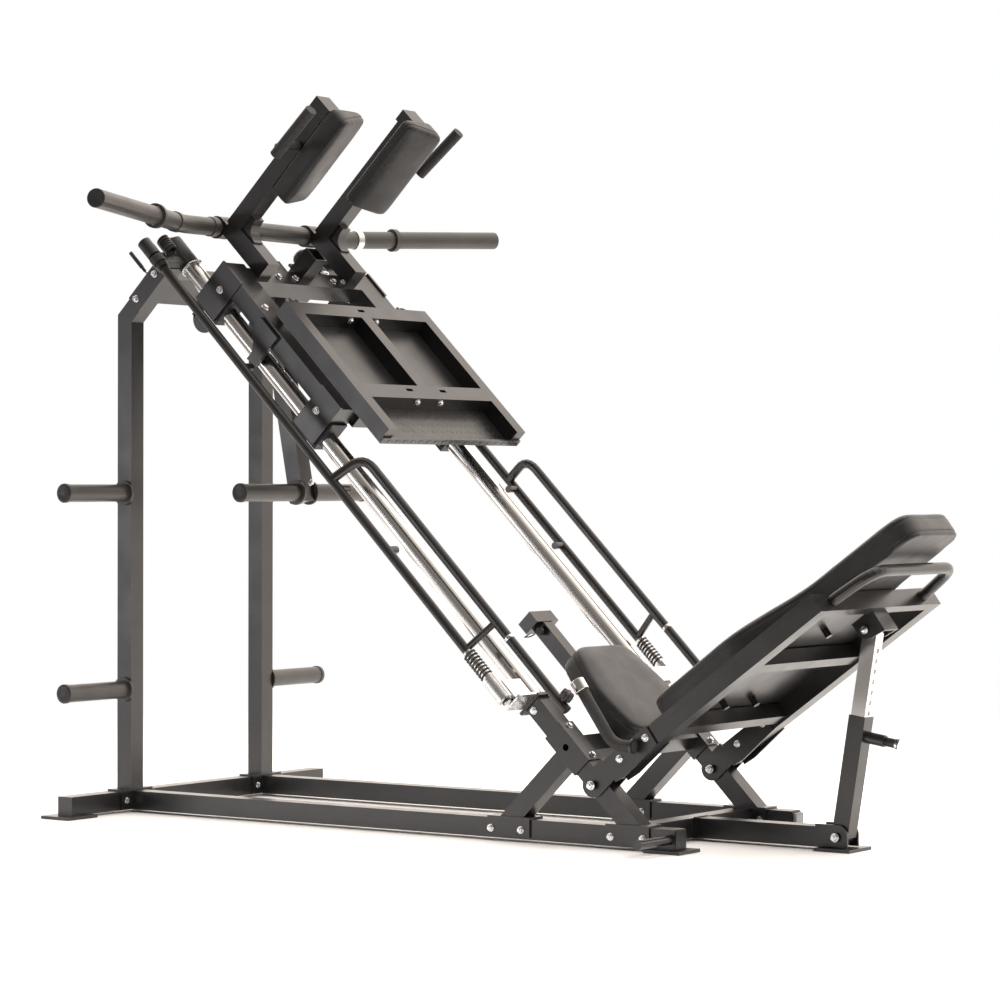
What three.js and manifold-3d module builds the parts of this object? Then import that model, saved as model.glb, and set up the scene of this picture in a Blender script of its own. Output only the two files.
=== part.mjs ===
// A leg press and hack squat machine: a floor frame, two guide rods at 45 degrees, a loaded sled with shoulder
// pads and a folding foot plate, two swinging lock bars, a seat, and a bench held up by a telescopic strut.
// Millimetres, +Z up, +X from the uprights towards the bench, Y across the machine.
import * as THREE from "three";
import { mergeVertices } from "three/addons/utils/BufferGeometryUtils.js";
import Module from "manifold-3d";

const wasm = await Module();
wasm.setup();

// Driving dimensions.
const TUBE = 50;
const HALF = TUBE / 2;
const PLATE = 5;
const GAP = 0.3; // between pieces that touch
const RUN = 0.08; // radial clearance of a shaft that turns or slides
const SHIFT_X = -1142; // puts the middle of the machine over the origin

const RAIL_Y = 285; // rails, uprights, legs and rods are all this far from the middle
const RAIL_TOP = 58;
const FOOT = 8;
const BEAM_HALF = 550;
const RAIL_END = 1775;

const SLOPE_ANGLE = 45;
const ROD_N = 1205; // height of the rod centres above the slope's own floor line
const ROD_R = 25;
const ROD_TOP = -1000;
const ROD_END = 702.7;
const LEG_TOP = 711;
const BRACE_S = 870;

const LOCK_Y = 405;
const LOCK_N = 1204;
const HANDLE_Y = 374;
const HANDLE_N = 1304;
const LOCK_R = 12.5;

const SLED_TOP = -805;
const SLED_LOW = -240;
const SLED_N = [1260, 1310];
const HOUSING = 90;
const LOAD_S = -958;
const LOAD_N = 1306;

const PAD_BACK = -885.5;

const PLATE_HINGE = [-596, 1352];

const BENCH_PIVOT = [1541, 155.6];
const BENCH_ANGLE = 36.3;
const STRUT_PIVOT = [2069, 34];
const STRUT_ANGLE = 9.06;
const STRUT_LENGTH = 520.5;
const STRUT_OFFSET = 5; // the tubes stand this far forward of the line between the two bolts
const STRUT_HALF = 22.5;

// Frames. In each, x runs along the member, z stands up from it, and y is the machine's own Y.
const turned = (degrees, x = 0, z = 0) =>
  new THREE.Matrix4()
    .makeTranslation(x, 0, z)
    .multiply(new THREE.Matrix4().makeRotationY(THREE.MathUtils.degToRad(degrees)));
const ground = new THREE.Matrix4();
const slope = turned(SLOPE_ANGLE);
const bench = turned(-BENCH_ANGLE, BENCH_PIVOT[0], BENCH_PIVOT[1]);
const strut = turned(STRUT_ANGLE, STRUT_PIVOT[0], STRUT_PIVOT[1]);

// The place on the slope, as [along, above], of a point given in the machine's X and Z.
const onSlope = (x, z) => [(x - z) / Math.SQRT2, (x + z) / Math.SQRT2];

// A closed solid from a three.js geometry, placed by a frame.
function solid(geometry, frame) {
  const bare = geometry.clone();
  bare.deleteAttribute("normal");
  bare.deleteAttribute("uv");
  bare.applyMatrix4(frame);
  const merged = mergeVertices(bare, 1e-3);
  const corners = merged.index.array;
  const kept = [];
  for (let i = 0; i < corners.length; i += 3) {
    const [a, b, c] = corners.slice(i, i + 3);
    if (a !== b && b !== c && c !== a) kept.push(a, b, c);
  }
  const mesh = new wasm.Mesh({
    numProp: 3,
    vertProperties: merged.attributes.position.array,
    triVerts: new Uint32Array(kept),
  });
  return new wasm.Manifold(mesh);
}

// A block between two limits on each axis of the frame.
function block(frame, [x0, x1], [y0, y1], [z0, z1]) {
  const box = new THREE.BoxGeometry(x1 - x0, y1 - y0, z1 - z0);
  box.translate((x0 + x1) / 2, (y0 + y1) / 2, (z0 + z1) / 2);
  return solid(box, frame);
}

// An outline of [x, z] points, or a ready shape, carried across from one y to another.
function prism(frame, outline, [y0, y1]) {
  const shape = outline instanceof THREE.Shape ? outline : new THREE.Shape(outline.map(([x, z]) => new THREE.Vector2(x, z)));
  const body = new THREE.ExtrudeGeometry(shape, { depth: y1 - y0, bevelEnabled: false, curveSegments: 8 });
  body.rotateX(Math.PI / 2);
  body.translate(0, y1, 0);
  return solid(body, frame);
}

// An outline of [x, y] points carried up from one z to another, its corners rounded.
function slab(frame, outline, corner, [z0, z1]) {
  const points = rounded(outline.map(([x, y]) => new THREE.Vector3(x, y, 0)), corner, true);
  const shape = new THREE.Shape(points.map((p) => new THREE.Vector2(p.x, p.y)));
  const body = new THREE.ExtrudeGeometry(shape, { depth: z1 - z0, bevelEnabled: false });
  body.translate(0, 0, z0);
  return solid(body, frame);
}

// A round bar between two points of the frame.
function rod(frame, from, to, radius, sides = 20) {
  const start = new THREE.Vector3(...from);
  const end = new THREE.Vector3(...to);
  const along = end.clone().sub(start);
  const bar = new THREE.CylinderGeometry(radius, radius, along.length(), sides);
  bar.applyQuaternion(new THREE.Quaternion().setFromUnitVectors(new THREE.Vector3(0, 1, 0), along.normalize()));
  bar.translate(...start.add(end).multiplyScalar(0.5).toArray());
  return solid(bar, frame);
}

// The cutter for a hole that clears a round bar of this radius all the way round.
function bore(frame, from, to, radius, sides = 20) {
  return rod(frame, from, to, (radius + RUN) / Math.cos(Math.PI / sides), sides);
}

// The points of a path with each corner replaced by a short arc.
function rounded(points, radius, closed = false) {
  const path = [];
  points.forEach((corner, i) => {
    const before = points[(i + points.length - 1) % points.length];
    const after = points[(i + 1) % points.length];
    if (!closed && (i === 0 || i === points.length - 1)) {
      path.push(corner);
      return;
    }
    const back = before.clone().sub(corner);
    const on = after.clone().sub(corner);
    const reach = Math.min(radius, back.length() / 2.02, on.length() / 2.02);
    const start = corner.clone().add(back.setLength(reach));
    const end = corner.clone().add(on.setLength(reach));
    path.push(...new THREE.QuadraticBezierCurve3(start, corner, end).getPoints(6));
  });
  return path;
}

// A round tube along a path of [x, y, z] points with rounded bends.
function pipe(frame, corners, radius, bend = 40, sides = 14) {
  const path = rounded(corners.map((p) => new THREE.Vector3(...p)), bend);
  const directions = path.map((p, i) => {
    const ahead = path[Math.min(i + 1, path.length - 1)];
    const behind = path[Math.max(i - 1, 0)];
    return ahead.clone().sub(behind).normalize();
  });
  const side = new THREE.Vector3(0.31, 0.53, 0.79).cross(directions[0]).normalize();
  const vertices = [];
  const faces = [];
  path.forEach((p, i) => {
    if (i > 0) {
      side.applyQuaternion(new THREE.Quaternion().setFromUnitVectors(directions[i - 1], directions[i]));
    }
    const other = directions[i].clone().cross(side);
    for (let k = 0; k < sides; k += 1) {
      const angle = (2 * Math.PI * k) / sides;
      const rim = p.clone().addScaledVector(side, radius * Math.cos(angle));
      rim.addScaledVector(other, radius * Math.sin(angle));
      vertices.push(...rim.toArray());
      if (i === 0) continue;
      const next = (k + 1) % sides;
      const [a, b] = [(i - 1) * sides + k, (i - 1) * sides + next];
      faces.push(a, b, b + sides, a, b + sides, a + sides);
    }
  });
  const last = (path.length - 1) * sides;
  for (let k = 1; k < sides - 1; k += 1) {
    faces.push(0, k + 1, k);
    faces.push(last, last + k, last + k + 1);
  }
  const tube = new THREE.BufferGeometry();
  tube.setAttribute("position", new THREE.Float32BufferAttribute(vertices, 3));
  tube.setIndex(faces);
  return solid(tube, frame);
}

const join = (...parts) => parts.reduce((whole, part) => whole.add(part));
const cut = (whole, ...cutters) => cutters.reduce((left, cutter) => left.subtract(cutter), whole);

// The two sides of the machine: -1 and +1 in Y. `span` turns two distances from the middle into a range of y.
const SIDES = { right: -1, left: 1 };
const span = (side, near, far) => [side * near, side * far].sort((a, b) => a - b);
const rail = (side) => span(side, RAIL_Y - HALF, RAIL_Y + HALF);

const LOOKS = {
  frame: { color: 0x2b2a29, roughness: 0.5, metalness: 0.3 },
  chrome: { color: 0xd8dadc, roughness: 0.12, metalness: 1 },
  zinc: { color: 0xb9bcbd, roughness: 0.35, metalness: 0.9 },
  nylon: { color: 0x17171a, roughness: 0.6, metalness: 0 },
  rubber: { color: 0x1b1b1c, roughness: 0.75, metalness: 0 },
  vinyl: { color: 0x222225, roughness: 0.55, metalness: 0 },
};

const machine = new THREE.Group();
machine.position.x = SHIFT_X;

// One named piece of the machine.
function add(name, shape, look) {
  const made = shape.getMesh();
  const count = made.vertProperties.length / made.numProp;
  const positions = new Float32Array(count * 3);
  for (let i = 0; i < count; i += 1) {
    const at = i * made.numProp;
    positions.set(made.vertProperties.subarray(at, at + 3), i * 3);
  }
  const geometry = new THREE.BufferGeometry();
  geometry.setAttribute("position", new THREE.BufferAttribute(positions, 3));
  geometry.setIndex(new THREE.BufferAttribute(made.triVerts, 1));
  geometry.computeVertexNormals();
  const mesh = new THREE.Mesh(geometry, new THREE.MeshStandardMaterial(LOOKS[look]));
  mesh.name = name;
  machine.add(mesh);
}

// ---------------------------------------------------------------- floor frame
add(
  "rear_base_beam",
  join(
    block(ground, [-HALF, HALF], [-BEAM_HALF, BEAM_HALF], [FOOT - 1, RAIL_TOP]),
    block(ground, [-TUBE, TUBE], [-BEAM_HALF - 40, -BEAM_HALF + 75], [0, FOOT]),
    block(ground, [-TUBE, TUBE], [BEAM_HALF - 75, BEAM_HALF + 40], [0, FOOT]),
  ),
  "frame",
);

// A pipe end flange, a peg and a cap, standing out from a surface along Y.
function peg(side, x, z, root, tip) {
  return join(
    rod(ground, [x, side * root, z], [x, side * (root + 7), z], 34, 28),
    rod(ground, [x, side * (root + 6), z], [x, side * (tip - 9), z], 24, 28),
    rod(ground, [x, side * (tip - 10), z], [x, side * tip, z], 26, 28),
  );
}

// A plate shoe over a base rail: a top plate and two cheeks.
function shoe(side, [x0, x1]) {
  return join(
    block(ground, [x0, x1], span(side, RAIL_Y - HALF - 5.3, RAIL_Y + HALF + 5.3), [RAIL_TOP + GAP, 63]),
    block(ground, [x0, x1], span(side, RAIL_Y - HALF - 5.3, RAIL_Y - HALF - GAP), [13, 63]),
    block(ground, [x0, x1], span(side, RAIL_Y + HALF + GAP, RAIL_Y + HALF + 5.3), [13, 63]),
  );
}

for (const [name, side] of Object.entries(SIDES)) {
  const outside = RAIL_Y + HALF;
  const knee = [
    [-HALF, 62],
    [HALF, 62],
    [HALF, HALF + 933 * Math.SQRT2],
    [(1170 - 933) / Math.SQRT2, (1170 + 933) / Math.SQRT2],
    [(1170 - 983) / Math.SQRT2, (1170 + 983) / Math.SQRT2],
    [-HALF, -HALF + 983 * Math.SQRT2],
  ];
  add(
    `upright_${name}`,
    join(
      prism(ground, knee, rail(side)),
      block(ground, [-HALF, HALF], span(side, RAIL_Y - 65, RAIL_Y + 65), [RAIL_TOP + GAP, 63]),
      block(slope, [-984, -932], span(side, outside - 1, outside + PLATE), [1010, 1166]),
      block(slope, [-992, -924], span(side, RAIL_Y - 32, RAIL_Y + 32), [1168, 1175]),
    ),
    "frame",
  );
  add(
    `base_rail_${name}`,
    join(
      block(ground, [HALF + 4, RAIL_END], rail(side), [FOOT - 1, RAIL_TOP]),
      block(ground, [HALF + GAP, HALF + GAP + PLATE], span(side, RAIL_Y - 70, RAIL_Y + 70), [9, 57]),
      block(ground, [RAIL_END - 1, RAIL_END + 4], span(side, RAIL_Y - 23, RAIL_Y + 23), [10, 56]),
      block(ground, [RAIL_END - 75, RAIL_END + 28], span(side, RAIL_Y - 50, RAIL_Y + 50), [0, FOOT]),
    ),
    "frame",
  );
  add(`storage_peg_upper_${name}`, peg(side, 0, 875, outside + GAP, 555), "frame");
  add(`storage_peg_lower_${name}`, peg(side, 0, 335, outside + GAP, 555), "frame");

  // ------------------------------------------------------------ inclined frame
  const legFoot = (n) => [n - 63 * Math.SQRT2 + 1, n];
  const holeSpan = span(side, RAIL_Y - 40, RAIL_Y + 40);
  const [low, high] = rail(side);
  const legOutline = [[LEG_TOP - 4, ROD_N - HALF], legFoot(ROD_N - HALF), legFoot(ROD_N + HALF), [LEG_TOP - 4, ROD_N + HALF]];
  const [pivotS, pivotN] = onSlope(...BENCH_PIVOT);
  add(
    `front_leg_${name}`,
    cut(
      join(
        prism(slope, legOutline, [low, high]),
        block(slope, [LEG_TOP - 8, LEG_TOP], span(side, RAIL_Y - 30, RAIL_Y + 30), [1162, 1240]),
        block(slope, [800, 926], span(side, RAIL_Y - 30, RAIL_Y + 30), [ROD_N - 30, ROD_N + 30]),
        shoe(side, [1577, 1704]),
        rod(slope, [pivotS, side * (RAIL_Y - 40), pivotN], [pivotS, side * (RAIL_Y + 41), pivotN], 9),
      ),
      rod(slope, [858, holeSpan[0], ROD_N], [858, holeSpan[1], ROD_N], 9),
    ),
    "frame",
  );
  const braceFoot = (s) => [s, s + 63 * Math.SQRT2 - 1];
  const braceTop = ROD_N - 30 - GAP;
  const braceOutline = [[BRACE_S - HALF, braceTop], braceFoot(BRACE_S - HALF), braceFoot(BRACE_S + HALF), [BRACE_S + HALF, braceTop]];
  add(`brace_${name}`, join(prism(slope, braceOutline, [low, high]), shoe(side, [1221, 1350])), "frame");
  add(`guide_rod_${name}`, rod(slope, [ROD_TOP, side * RAIL_Y, ROD_N], [ROD_END, side * RAIL_Y, ROD_N], ROD_R, 32), "chrome");

  // A collar round the rod's top, with an ear that carries the lock bar.
  const collar = (from, to, y, n, radius) => rod(slope, [from, side * y, n], [to, side * y, n], radius, 32);
  const lockBore = (from, to) => bore(slope, [from, side * LOCK_Y, LOCK_N], [to, side * LOCK_Y, LOCK_N], LOCK_R);
  const rodBore = (from, to) => bore(slope, [from, side * RAIL_Y, ROD_N], [to, side * RAIL_Y, ROD_N], ROD_R, 32);
  add(
    `rod_top_clamp_${name}`,
    cut(
      join(
        collar(-994, -900, RAIL_Y, ROD_N, 29),
        block(slope, [-930, -906], span(side, RAIL_Y + 20, LOCK_Y - 10), [1194, 1214]),
        collar(-930, -906, LOCK_Y, LOCK_N, 20),
      ),
      rodBore(-1010, -890),
      lockBore(-935, -900),
    ),
    "rubber",
  );
  add(
    `rod_lower_bracket_${name}`,
    cut(
      join(
        block(slope, [640, 700], span(side, outside + GAP, LOCK_Y - 15), [1185, 1223]),
        block(slope, [696, ROD_END], span(side, outside + GAP, LOCK_Y - 20), [1176, 1234]),
        collar(617, 690, LOCK_Y, LOCK_N, 20),
      ),
      lockBore(610, 700),
    ),
    "zinc",
  );

  // ------------------------------------------------------------ lock bar and its spring
  const across = (s, y, n) => [s, side * y, n];
  const flat = [
    [HANDLE_Y, HANDLE_N],
    [LOCK_Y, LOCK_N],
  ];
  add(
    `lock_bar_${name}`,
    join(
      rod(slope, across(-988, LOCK_Y, LOCK_N), across(697, LOCK_Y, LOCK_N), LOCK_R),
      rod(slope, across(-990, LOCK_Y, LOCK_N), across(-936, LOCK_Y, LOCK_N), 19),
      rod(slope, across(-903, LOCK_Y, LOCK_N), across(-889, LOCK_Y, LOCK_N), 18),
      ...[-507, -51, 168].map((s) => rod(slope, across(s, LOCK_Y, LOCK_N), across(s, 366, LOCK_N), 10)),
      pipe(
        slope,
        [across(-86, LOCK_Y, LOCK_N), across(-72, ...flat[0]), across(820, ...flat[0])],
        LOCK_R,
        46,
      ),
      pipe(slope, [across(517, ...flat[1]), across(517, ...flat[0])], 9, 1, 12),
      rod(slope, across(793, HANDLE_Y, HANDLE_N), across(793, HANDLE_Y, HANDLE_N + 24), 8, 16),
    ),
    "frame",
  );
  const coil = new THREE.Curve();
  const turns = 8;
  coil.getPoint = (t) => {
    const angle = 2 * Math.PI * turns * t;
    return new THREE.Vector3(531 + 82 * t, side * LOCK_Y + 17 * Math.cos(angle), LOCK_N + 17 * Math.sin(angle));
  };
  const wire = new THREE.Shape().absarc(0, 0, 2.4, 0, 2 * Math.PI);
  const spring = new THREE.ExtrudeGeometry(wire, { steps: turns * 8, curveSegments: 3, extrudePath: coil });
  add(`lock_spring_${name}`, solid(spring, slope), "nylon");

  // ------------------------------------------------------------ seat handle, carried by the bench
  add(
    `seat_handle_${name}`,
    join(
      pipe(slope, [across(772, 332, 1355), across(956, 332, 1323), across(1000, 332, 1366)], 15, 34),
      rod(slope, across(770, 332, 1355.3), across(800, 332, 1350), 18),
    ),
    "rubber",
  );
}

add(
  "band_peg",
  join(
    rod(ground, [1759, -RAIL_Y - HALF - GAP, 33], [1759, -450, 33], 12),
    rod(ground, [1759, -446, 33], [1759, -458, 33], 13.5),
  ),
  "rubber",
);
add("top_cross_member", block(slope, [-982, -934], [-259.7, 259.7], [1040, 1130]), "frame");
add("front_cross_member", block(ground, [1610, 1660], [-254.4, 254.4], [FOOT, RAIL_TOP]), "frame");
add("leg_cross_member", block(slope, [845, 895], [-254.7, 254.7], [1181, 1231]), "frame");

// The centre beam's two lugs carry the strut on one bolt.
const lug = new THREE.Shape();
lug.moveTo(2010, 10);
lug.lineTo(2100, 10);
lug.lineTo(2100, 38);
lug.absarc(2073, 38, 27, 0, Math.PI / 2);
lug.lineTo(2010, 65);
const lugY = HALF + GAP;
add(
  "centre_beam",
  join(
    block(ground, [1660.3, 1665.3], [-HALF - 6, HALF + 6], [5, 61]),
    block(ground, [1664, 2038], [-HALF, HALF], [FOOT - 1, RAIL_TOP]),
    block(ground, [2020, 2120], [-57, 57], [0, FOOT]),
    prism(ground, lug, [-lugY - PLATE, -HALF + 1]).intersect(block(ground, [2000, 2110], [-lugY - PLATE, -lugY], [7, 70])),
    prism(ground, lug, [HALF - 1, lugY + PLATE]).intersect(block(ground, [2000, 2110], [lugY, lugY + PLATE], [7, 70])),
    block(ground, [2006, 2034], [-lugY - 1, lugY + 1], [12, 56]),
    rod(ground, [STRUT_PIVOT[0], -37, STRUT_PIVOT[1]], [STRUT_PIVOT[0], 37, STRUT_PIVOT[1]], 8),
  ),
  "frame",
);

// ---------------------------------------------------------------- seat
add(
  "seat_post",
  join(
    block(slope, [440, 844.7], [-20, 20], [1187, 1227]),
    block(slope, [424, 460], [-50, 50], [1180, 1229]),
    block(slope, [640, 900], [-85, 85], [1231.3, 1238]),
    block(slope, [640, 840], [-18, 18], [1224, 1234]),
  ),
  "frame",
);
add(
  "seat_pad",
  slab(slope, [[614, -118], [770, -172], [905, -142], [905, 142], [770, 172], [614, 118]], 40, [1238.3, 1303]),
  "vinyl",
);

// ---------------------------------------------------------------- sled
const sledParts = [
  block(slope, [-790, -736], [-240, 240], SLED_N),
  block(slope, [-276, -226], [-240, 240], SLED_N),
  block(slope, [-890, -736], [-40, 40], [1250, 1262]),
  block(slope, [-808, -758], [-25, 25], [1308, 1384]),
];
const sledCuts = [block(slope, [-804, -762], [-21, 21], [1340, 1390])];
for (const side of Object.values(SIDES)) {
  sledParts.push(block(slope, [SLED_TOP, SLED_LOW], span(side, 232, 322), SLED_N));
  for (const top of [SLED_TOP, SLED_LOW - HOUSING]) {
    sledParts.push(block(slope, [top, top + HOUSING], span(side, 317, 325), [1180, 1315]));
    sledParts.push(block(slope, [top, top + HOUSING], span(side, 245, 253), [1180, 1262]));
  }
  const hook = [[-600, 1300], [-520, 1300], [-520, 1196], [-556, 1190], [-556, 1214], [-574, 1240], [-600, 1250]];
  sledParts.push(prism(slope, hook, span(side, 320, 332)));
  // A round-topped lug, so that the plate's edge clears it on the way up.
  const [hingeS, hingeN] = PLATE_HINGE;
  sledParts.push(block(slope, [hingeS - 15, hingeS + 15], span(side, 243, 251), [1308, hingeN]));
  sledParts.push(rod(slope, [hingeS, side * 243, hingeN], [hingeS, side * 251, hingeN], 15, 32));
  sledCuts.push(bore(slope, [hingeS, side * 238, hingeN], [hingeS, side * 256, hingeN], 8));
}
add("sled_frame", cut(join(...sledParts), ...sledCuts), "frame");

for (const [name, side] of Object.entries(SIDES)) {
  for (const [place, top] of Object.entries({ upper: SLED_TOP, lower: SLED_LOW - HOUSING })) {
    add(
      `bush_${place}_${name}`,
      cut(
        block(slope, [top + 4, top + HOUSING + 8], span(side, 253.3, 316.7), [1171, 1259.7]),
        bore(slope, [top - 5, side * RAIL_Y, ROD_N], [top + HOUSING + 15, side * RAIL_Y, ROD_N], ROD_R, 32),
      ),
      "nylon",
    );
  }
}

const HORN_BEND = [LOAD_S, 359, LOAD_N];
const HORN_TIP = [-863, 882, 1435];
const hornAt = (y) => {
  const t = (y - HORN_BEND[1]) / (HORN_TIP[1] - HORN_BEND[1]);
  return HORN_BEND.map((from, i) => from + t * (HORN_TIP[i] - from));
};
const mirrored = ([s, y, n], side) => [s, side * y, n];
add(
  "load_bar",
  pipe(
    slope,
    [mirrored(HORN_TIP, -1), mirrored(HORN_BEND, -1), HORN_BEND, HORN_TIP],
    25,
    45,
    24,
  ),
  "frame",
);

for (const [name, side] of Object.entries(SIDES)) {
  const at = (s, y, n) => [s, side * y, n];
  const ring = (from, to, radius) => rod(slope, mirrored(hornAt(from), side), mirrored(hornAt(to), side), radius, 28);
  add(`horn_collar_${name}`, cut(ring(520, 533, 33), ring(510, 545, 25.6)), "frame");

  const gusset = new THREE.Shape();
  gusset.moveTo(-894, 1355);
  gusset.lineTo(-832, 1355);
  gusset.lineTo(-832, 1366);
  gusset.quadraticCurveTo(-874, 1368, -872, 1412);
  gusset.lineTo(-894, 1412);
  add(
    `shoulder_arm_${name}`,
    cut(
      join(
        block(slope, [-932, -750], span(side, 169, 219), [1310.3, 1362]),
        block(slope, [-939, -889], span(side, 169, 219), [1345, 1765]),
        block(slope, [-947, -886], span(side, 166, 222), [1755, 1791]),
        prism(slope, gusset, span(side, 176, 212)),
        block(slope, [-895, -889], span(side, 115, 172), [1560, 1740]),
        rod(slope, at(LOAD_S, 172, LOAD_N), at(LOAD_S, 216, LOAD_N), 31),
        block(slope, [-950, -925], span(side, 172, 216), [1312, 1337]),
      ),
      rod(slope, at(LOAD_S, 160, LOAD_N), at(LOAD_S, 230, LOAD_N), 25.6, 28),
    ),
    "frame",
  );
  // The pad's face turns a little towards the middle of the machine.
  const padOutline = [
    [PAD_BACK, side * 100],
    [PAD_BACK, side * 224],
    [-820, side * 222],
    [-852, side * 100],
  ];
  add(`shoulder_pad_${name}`, slab(slope, padOutline, 14, [1510, 1804]), "vinyl");
  add(
    `shoulder_handle_${name}`,
    join(
      rod(slope, at(-901, 221.8, 1655), at(-880, 326, 1655), 11),
      rod(slope, at(-872, 324, 1634), at(-860, 334, 1803), 16),
    ),
    "rubber",
  );
}

// The hanging arm that stores plates under the sled, leaning back a little.
const HANGER_N = 1249.7;
const lean = new THREE.Vector2(-0.19, 1).normalize();
const ahead = new THREE.Vector2(lean.y, -lean.x).multiplyScalar(HALF);
const armFoot = new THREE.Vector2(378.5, 850);
const upToHanger = (from) => {
  const t = (HANGER_N * Math.SQRT2 - from.x - from.y) / (lean.x + lean.y);
  return [from.x + t * lean.x, from.y + t * lean.y];
};
const frontEdge = armFoot.clone().add(ahead);
const backEdge = armFoot.clone().sub(ahead);
add(
  "weight_arm",
  prism(ground, [frontEdge.toArray(), upToHanger(frontEdge), upToHanger(backEdge), backEdge.toArray()], [-HALF, HALF]),
  "frame",
);
for (const [name, side] of Object.entries(SIDES)) {
  add(`weight_peg_${name}`, peg(side, 378, 877, HALF + GAP, 274), "frame");
}

// ---------------------------------------------------------------- foot plate, folded down on the sled
const PLATE_N = [1339.3, 1380];
const [hingeS, hingeN] = PLATE_HINGE;
const plateParts = [
  block(slope, [-580, -534], [-280, 280], PLATE_N),
  block(slope, [-268, -218], [-280, 280], PLATE_N),
  block(slope, [-540, -260], [-22, 22], PLATE_N),
];
for (const side of Object.values(SIDES)) {
  plateParts.push(block(slope, [-580, -96], span(side, 274, 314), PLATE_N));
  plateParts.push(block(slope, [-608, -570], span(side, 224, 232), [1340, 1364]));
  plateParts.push(rod(slope, [hingeS, side * 226, hingeN], [hingeS, side * 256, hingeN], 8));
}
const plateSlots = [
  block(slope, [-566, -556], [-14, 14], [1360, 1390]),
  block(slope, [-255, -245], [-90, -62], [1360, 1390]),
  block(slope, [-255, -245], [62, 90], [1360, 1390]),
];
add("foot_plate_frame", cut(join(...plateParts), ...plateSlots), "frame");
add(
  "tread_plate",
  join(
    block(slope, [-580, -90], [-314, 314], [1333, 1339]),
    block(slope, [-95, -90], [-314, 314], [1333, 1352]),
  ),
  "frame",
);

// ---------------------------------------------------------------- bench
const benchParts = [
  block(bench, [755, 780], [-262, 262], [-19, 31]),
  block(bench, [503, 538], [-262, 262], [-12, 28]),
  block(bench, [230, 266], [-262, 262], [-12, 28]),
  block(bench, [700, 768], [-35, 35], [-19, -13]),
  block(bench, [763, 768], [-35, 35], [-76, -13]),
];
const benchHoles = [];
const STRUT_BOLT = [723.9, -44.9];
const ear = [
  [702, -14],
  [700, -48],
  [712, -64],
  [728, -71],
  [768, -76],
  [768, -14],
];
const bracketTilt = THREE.MathUtils.degToRad(SLOPE_ANGLE - BENCH_ANGLE);
const bracket = bench.clone().multiply(new THREE.Matrix4().makeRotationY(-bracketTilt));
for (const side of Object.values(SIDES)) {
  benchParts.push(block(bench, [70, 780], rail(side), [-19, 31]));
  benchParts.push(prism(bench, ear, span(side, 29, 35)));
  const cheeks = [span(side, RAIL_Y - HALF - 6, RAIL_Y - HALF - GAP), span(side, RAIL_Y + HALF + GAP, RAIL_Y + HALF + 6)];
  for (const cheek of cheeks) {
    const [inner, outer] = cheek;
    benchParts.push(block(bracket, [0, 66], cheek, [-31, 31]));
    benchParts.push(rod(bench, [0, inner, 0], [0, outer, 0], 31, 32));
    benchParts.push(prism(bench, [[60, -30], [96, -33], [215, -21], [215, 33], [64, 33]], cheek));
    benchHoles.push(bore(bench, [0, inner - 2, 0], [0, outer + 2, 0], 9));
  }
  const webSpan = span(side, RAIL_Y - HALF - 6, RAIL_Y + HALF + 6);
  benchParts.push(block(bracket, [53, 60], webSpan, [-31, 31]));
  benchParts.push(block(bench, [66, 80], webSpan, [-19, 31]));
}
benchParts.push(rod(bench, [STRUT_BOLT[0], -41, STRUT_BOLT[1]], [STRUT_BOLT[0], 41, STRUT_BOLT[1]], 6));
add("bench_frame", cut(join(...benchParts), ...benchHoles), "frame");
add(
  "bench_plate",
  join(
    block(bench, [225, 765], [-300, 300], [31.3, 35]),
    ...[[305, -74], [305, 74], [615, 0]].map(([a, y]) => rod(bench, [a, y, 8], [a, y, 34], 9, 16)),
  ),
  "frame",
);
add(
  "u_handle",
  pipe(
    bench,
    [[780.3, -232, 6], [802, -232, 6], [907, -205, 6], [907, 205, 6], [802, 232, 6], [780.3, 232, 6]],
    14.5,
    60,
    16,
  ),
  "rubber",
);
const backOutline = [[205, -226], [512, -238], [700, -140], [1010, -128], [1010, 128], [700, 140], [512, 238], [205, 226]];
add("back_pad", slab(bench, backOutline, 45, [35.5, 101]), "vinyl");

// ---------------------------------------------------------------- strut
const OUTER_TOP = 305;
const PIN_Z = 256;
const face = STRUT_OFFSET + STRUT_HALF;
const post = (half) => [STRUT_OFFSET - half, STRUT_OFFSET + half];
add(
  "strut_outer",
  cut(
    join(
      block(strut, post(STRUT_HALF), [-STRUT_HALF, STRUT_HALF], [2, OUTER_TOP]),
      rod(strut, [0, -STRUT_HALF, 0], [0, STRUT_HALF, 0], STRUT_HALF, 32),
      rod(strut, [face - 1, 0, PIN_Z], [face + 52, 0, PIN_Z], 15),
    ),
    block(strut, post(19.5), [-19.5, 19.5], [45, OUTER_TOP + 5]),
    bore(strut, [0, -STRUT_HALF - 2, 0], [0, STRUT_HALF + 2, 0], 8),
    bore(strut, [face - 10, 0, PIN_Z], [face + 60, 0, PIN_Z], 6),
  ),
  "frame",
);
const pinHoles = Array.from({ length: 9 }, (_, i) => {
  const z = STRUT_LENGTH - 50 - 26 * i;
  return rod(strut, [face - 10, 0, z], [face, 0, z], 6, 14);
});
add(
  "strut_inner",
  cut(
    join(
      block(strut, post(19), [-19, 19], [STRUT_LENGTH - 330, STRUT_LENGTH]),
      rod(strut, [STRUT_OFFSET, -19, STRUT_LENGTH], [STRUT_OFFSET, 19, STRUT_LENGTH], 19, 32),
    ),
    rod(strut, [0, -25, STRUT_LENGTH], [0, 25, STRUT_LENGTH], 10),
    ...pinHoles,
  ),
  "zinc",
);
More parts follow.
